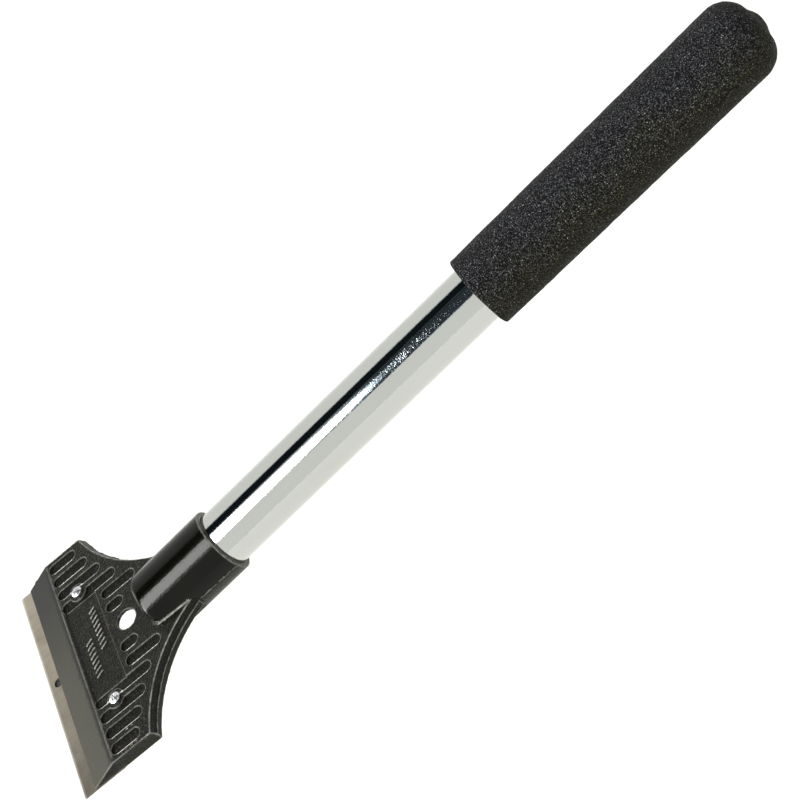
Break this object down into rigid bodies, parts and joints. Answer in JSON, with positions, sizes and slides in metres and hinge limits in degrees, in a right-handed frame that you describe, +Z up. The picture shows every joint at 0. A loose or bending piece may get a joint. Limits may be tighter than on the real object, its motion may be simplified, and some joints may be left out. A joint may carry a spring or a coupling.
{
  "type": "floor scraper",
  "caption": "Long-handled floor scraper: a wide cast head clamps a double-edged blade by screws, on a chromed tube with a foam grip.",
  "frame": {"origin": "middle of the bounding box's base, on the surface the tool lies on", "axes": "+X along the handle from the blade to the grip's closed end, +Y along the cutting edge, +Z up out of the head's slotted face"},
  "size_m": [0.3458, 0.1016, 0.0304],
  "materials": {
    "cast_black": "satin",
    "blade_steel": "satin",
    "bar_black": "satin",
    "zinc": "polished",
    "tube_chrome": "polished",
    "rivet_metal": "satin",
    "foam_black": "matte"
  },
  "bodies": {
    "head": {"head_casting": "cast_black", "handle_tube": "tube_chrome", "handle_rivet": "rivet_metal", "foam_grip": "foam_black"},
    "blade": {"blade": "blade_steel"},
    "clamp_bar": {"clamp_bar": "bar_black"},
    "screw_left": {"clamp_screw_left": "zinc"},
    "screw_right": {"clamp_screw_right": "zinc"}
  },
  "joints": [
    {"name": "screw_left_turn", "type": "hinge", "parent": "head", "child": "screw_left", "pos_m": [-0.14601, 0.0277, 0.0219], "axis": [0.108, 0, 0.9942], "range_deg": [0, 1080]},
    {"name": "screw_right_turn", "type": "hinge", "parent": "head", "child": "screw_right", "pos_m": [-0.14601, -0.0277, 0.0219], "axis": [0.108, 0, 0.9942], "range_deg": [0, 1080]},
    {"name": "clamp_bar_drop", "type": "slide", "parent": "head", "child": "clamp_bar", "axis": [-0.108, 0, -0.9942], "range_m": [0, 0.0015]},
    {"name": "blade_slide", "type": "slide", "parent": "head", "child": "blade", "axis": [-0.9942, 0, 0.108], "range_m": [0, 0.0139]}
  ],
  "couplings": [
    {"joint": "screw_left_turn", "follows": "clamp_bar_drop", "rad_per_m": 12560},
    {"joint": "screw_right_turn", "follows": "clamp_bar_drop", "rad_per_m": 12560}
  ]
}
